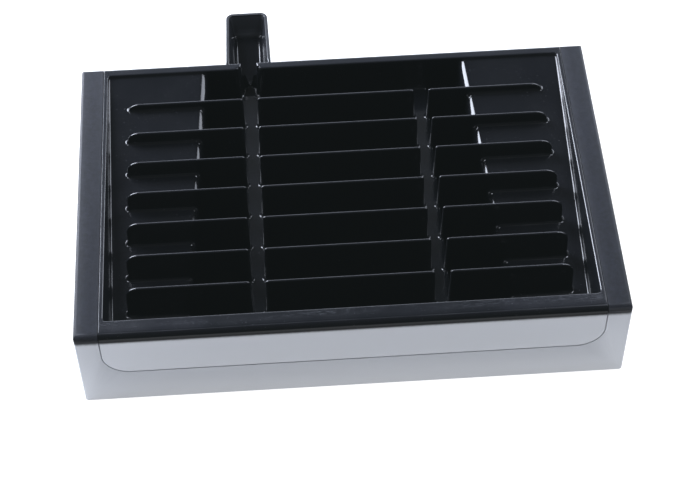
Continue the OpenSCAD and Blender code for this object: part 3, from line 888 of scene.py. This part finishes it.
for corner in ("front_left_foot", "front_right_foot", "rear_left_foot", "rear_right_foot"):
    low, high = node_box(corner)
    r, h = (high.x - low.x) / 2, high.z
    turned(corner + "_pad", [(0.25, 0), (0.25, r * 0.55), (0, r * 0.65), (0, r - 0.5), (0.1, r - 0.2),
                             (0.4, r), (h, r), (h, 0)],
           ((low.x + high.x) / 2, (low.y + high.y) / 2, 0), "z", RUBBER, "shell", corner)

for contact in ("left_level_contact", "right_level_contact"):
    low, high = node_box(contact)
    r = (high.x - low.x) / 2
    depth = high.y - low.y
    turned(contact + "_stud", [(0, 0), (0.02, r * 0.5), (0.25, r - 0.35), (0.5, r), (1, r), (1, 2),
                               (depth - 0.8, 2), (depth - 0.8, 2.9), (depth - 0.5, 3),
                               (depth - 0.2, 2.8), (depth, 2.2), (depth, 0)],
           ((low.x + high.x) / 2, low.y, (low.z + high.z) / 2), "y", STEEL, "tray", contact)

low, high = node_box("presence_magnet")
r, depth = (high.x - low.x) / 2, high.y - low.y
turned("presence_magnet_disc", [(0, 0), (0, r - 0.3), (0.3, r), (depth - 0.3, r), (depth, r - 0.3),
                                (depth, 0)],
       ((low.x + high.x) / 2, low.y, (low.z + high.z) / 2), "y", NICKEL, "shell",
       "presence_magnet")
for node, material in (("magnet_cap", SHELL_FINISH), ("contact_seals", SEAL)):
    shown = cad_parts[node]
    shown.data.materials.clear()
    shown.data.materials.append(material)
    edges = shown.modifiers.new("edges", "BEVEL")
    edges.width = 0.12 * MM
    edges.segments = 2
    edges.limit_method = "ANGLE"


# ---------------------------------------------------------------- camera, floor and light
CAMERA_AT = Vector((-26.08, -456.64, 684.34))
AZIMUTH, ELEVATION, ROLL = (math.radians(v) for v in (-3.0915, 51.7996, -0.7979))
LENS = 94.52

camera = bpy.data.objects.new("camera", bpy.data.cameras.new("camera"))
bpy.context.scene.collection.objects.link(camera)
back = Vector((math.sin(AZIMUTH) * math.cos(ELEVATION), -math.cos(AZIMUTH) * math.cos(ELEVATION),
               math.sin(ELEVATION)))
side = (-back).cross(Vector((0, 0, 1))).normalized()
rise = side.cross(-back)
right = side * math.cos(ROLL) + rise * math.sin(ROLL)
up = rise * math.cos(ROLL) - side * math.sin(ROLL)
pose = camera.matrix_world.to_3x3()
for i in range(3):
    pose[i] = (right[i], up[i], back[i])
camera.matrix_world = pose.to_4x4()
camera.location = CAMERA_AT * MM + Vector((0, FRONT, 0))
camera.data.lens = LENS
camera.data.sensor_width = 36
camera.data.clip_start, camera.data.clip_end = 0.05, 20
bpy.context.scene.camera = camera

SKYLIGHT = (0.90, 0.96, 1.10)
FLOOR_HALF = 4.0
BLACK_LEVEL = (-0.0048, -0.0060, -0.0062)
# name, direction from the tray, distance, width, height (metres), radiance
SOFTBOXES = (
    ("left_softbox", (-0.70, 0.50, 0.47), 1.0, 0.62, 0.9, 20),
    ("right_softbox", (0.70, 0.50, 0.47), 1.0, 0.62, 0.9, 5.5),
    ("ceiling_left", (-0.42, -0.02, 0.9), 1.2, 0.18, 0.18, 24),
    ("ceiling_right", (0.42, -0.02, 0.9), 1.2, 0.18, 0.18, 24),
    ("rear_card", (0, 1.6, 0.48), 1.7, 1.6, 0.9, 3.4),
    ("rear_glow", (0, 1.0, 1.08), 1.5, 1.8, 0.5, 0.25),
)


def softbox(name, direction, distance, width, height, radiance):
    """Area lamp of the given radiance that faces the tray from a direction."""
    data = bpy.data.lights.new(name, "AREA")
    data.shape = "RECTANGLE"
    data.size, data.size_y = width, height
    data.energy = radiance * math.pi * width * height
    data.color = SKYLIGHT
    light = bpy.data.objects.new(name, data)
    bpy.context.scene.collection.objects.link(light)
    towards = Vector(direction).normalized()
    light.location = towards * distance + Vector((0, 0, BODY_H * MM / 2))
    light.rotation_euler = (-towards).to_track_quat("-Z", "Y").to_euler()


def stage_floor():
    """Pale floor that glows faintly, like a light table."""
    mesh = bpy.data.meshes.new("floor")
    corners = [(-FLOOR_HALF, -FLOOR_HALF, 0), (FLOOR_HALF, -FLOOR_HALF, 0),
               (FLOOR_HALF, FLOOR_HALF, 0), (-FLOOR_HALF, FLOOR_HALF, 0)]
    mesh.from_pydata(corners, [], [(0, 1, 2, 3)])
    floor = bpy.data.objects.new("floor", mesh)
    bpy.context.scene.collection.objects.link(floor)
    material, tree, shader = nodes_of("floor_light_table")
    cloud = noise(tree, object_point(tree), 3, 2)
    tree.links.new(mix_colour(tree, cloud, (0.30, 0.30, 0.30), (0.34, 0.34, 0.34)),
                   shader.inputs["Base Color"])
    tree.links.new(mix_colour(tree, cloud, (0.98, 0.98, 0.98), (1.0, 1.0, 1.0)),
                   shader.inputs["Emission Color"])
    shader.inputs["Emission Strength"].default_value = 1.0
    shader.inputs["Roughness"].default_value = 0.9
    mesh.materials.append(material)
    floor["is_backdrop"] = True


def dim_world():
    """Faint bluish light from all round."""
    world = bpy.data.worlds.new("studio")
    world.use_nodes = True
    background = world.node_tree.nodes["Background"]
    background.inputs["Color"].default_value = (0.92, 0.96, 1, 1)
    background.inputs["Strength"].default_value = 0.06
    bpy.context.scene.world = world


def lifted_blacks():
    """Plain view transform whose darkest tones are raised a little, as haze in a lens does."""
    view = bpy.context.scene.view_settings
    view.view_transform = "Standard"
    view.use_curve_mapping = True
    view.curve_mapping.black_level = BLACK_LEVEL
    view.curve_mapping.update()


stage_floor()
for box in SOFTBOXES:
    softbox(*box)
dim_world()
lifted_blacks()

low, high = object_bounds()
